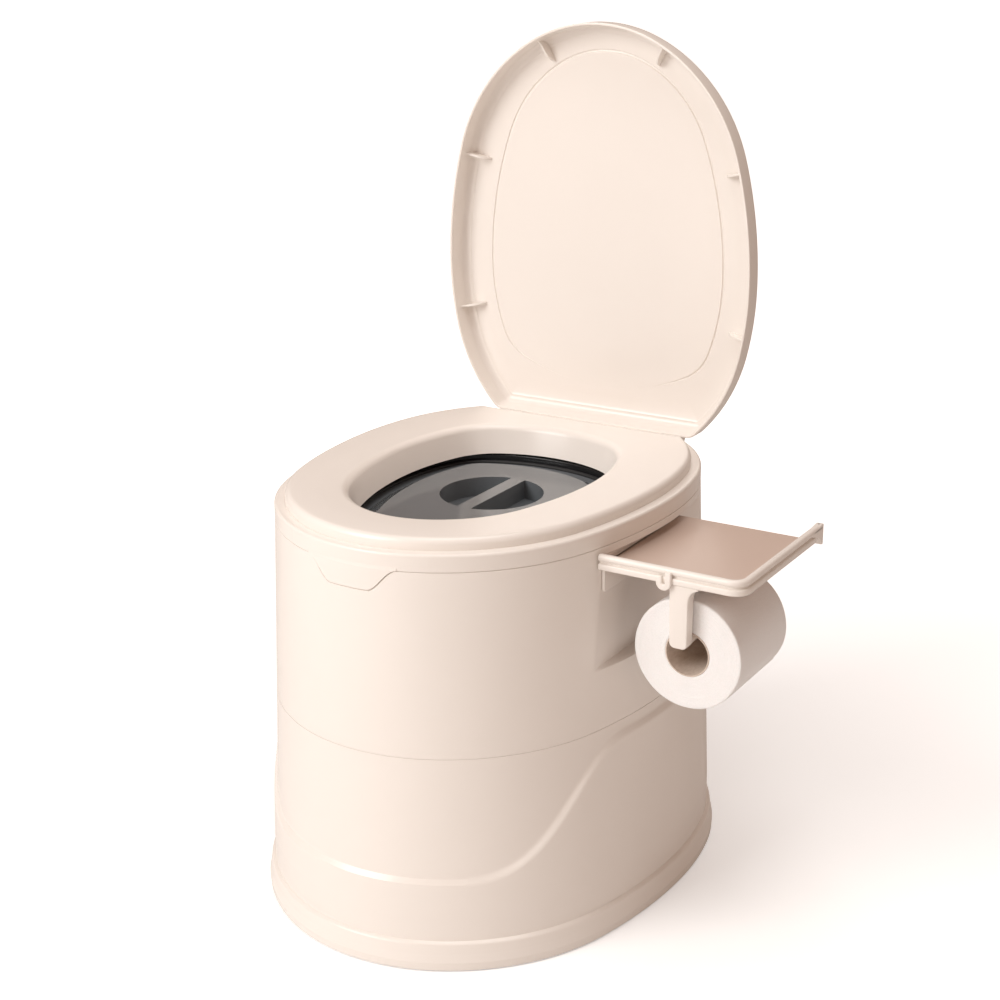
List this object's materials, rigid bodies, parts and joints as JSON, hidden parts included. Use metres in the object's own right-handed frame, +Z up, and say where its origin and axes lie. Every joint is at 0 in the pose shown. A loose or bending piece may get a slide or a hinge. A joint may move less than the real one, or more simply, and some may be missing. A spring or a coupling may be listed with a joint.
{
  "type": "portable toilet",
  "caption": "Free-standing portable toilet: oval two-part casing, hinged seat and lid, lift-out bucket with lid, side tray and a paper roll on a spindle.",
  "frame": {"origin": "on the floor, on the middle plane, under the casing's middle, at the underside of the centre foot", "axes": "+Z up, -Y to the front, +X to the side with the tray"},
  "size_m": [0.5079, 0.4803, 0.796],
  "materials": {
    "cream_plastic": "smooth semi-gloss moulded plastic",
    "black_plastic": "gloss",
    "smoke_plastic": "gloss, smoke grey",
    "rubber": "satin rubber",
    "screw_steel": "plain steel",
    "cardboard": "wound cardboard",
    "tissue": "soft white paper"
  },
  "bodies": {
    "housing": {"lower_shell": "cream_plastic", "upper_shell": "cream_plastic", "base_plate": "cream_plastic", "rubber_feet": "rubber", "base_screws": "screw_steel", "shell_screws": "screw_steel", "bucket": "black_plastic", "bucket_bail": "screw_steel", "bail_grip": "black_plastic", "bucket_lid": "smoke_plastic", "bucket_lid_seal": "rubber", "shelf_tray": "cream_plastic", "roll_arm": "cream_plastic", "arm_screws": "screw_steel", "seat_hinge_pin_left": "screw_steel", "seat_hinge_pin_right": "screw_steel"},
    "seat": {"seat_frame": "cream_plastic", "seat_ring": "cream_plastic", "seat_screws": "screw_steel", "seat_bumpers": "rubber", "lid_hinge_pin_left": "screw_steel", "lid_hinge_pin_right": "screw_steel"},
    "lid": {"lid": "cream_plastic"},
    "roll": {"roll_core": "cardboard", "paper_roll": "tissue"}
  },
  "joints": [
    {"name": "seat_hinge", "type": "hinge", "parent": "housing", "child": "seat", "pos_m": [0, 0.212, 0.37], "axis": [-1, 0, 0], "range_deg": [0, 90]},
    {"name": "lid_hinge", "type": "hinge", "parent": "seat", "child": "lid", "pos_m": [0, 0.1935, 0.3815], "axis": [1, 0, 0], "range_deg": [0, 90]},
    {"name": "roll_spin", "type": "hinge", "parent": "housing", "child": "roll", "pos_m": [0.248, -0.025, 0.288], "axis": [0, 1, 0], "continuous": true}
  ]
}
